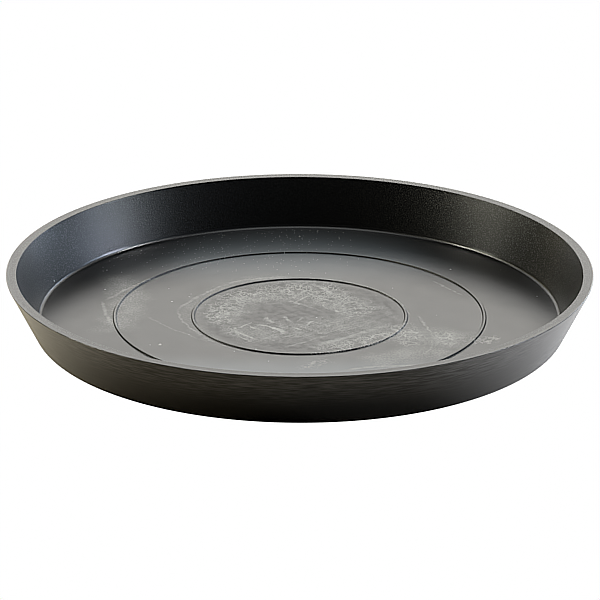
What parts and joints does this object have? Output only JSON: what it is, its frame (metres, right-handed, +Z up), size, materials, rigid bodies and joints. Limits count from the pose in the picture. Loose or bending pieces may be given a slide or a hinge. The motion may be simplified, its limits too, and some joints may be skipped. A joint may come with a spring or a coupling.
{
  "type": "round plant saucer",
  "caption": "Low round plant saucer with a leaning wall, a flat rim, raised rings on its floor and a foot ring, to catch water under a plant pot.",
  "frame": {"origin": "centre of the saucer on the plane that its foot ring stands on", "axes": "+Z up along the axis of the saucer, +X and +Y level; the saucer looks the same from every side"},
  "size_m": [0.36, 0.36, 0.038],
  "materials": {
    "saucer_plastic": "satin dark grey moulded plastic with a fine brushed grain, scuffs and chalky marks"
  },
  "bodies": {
    "root": {"saucer": "saucer_plastic"}
  },
  "joints": []
}
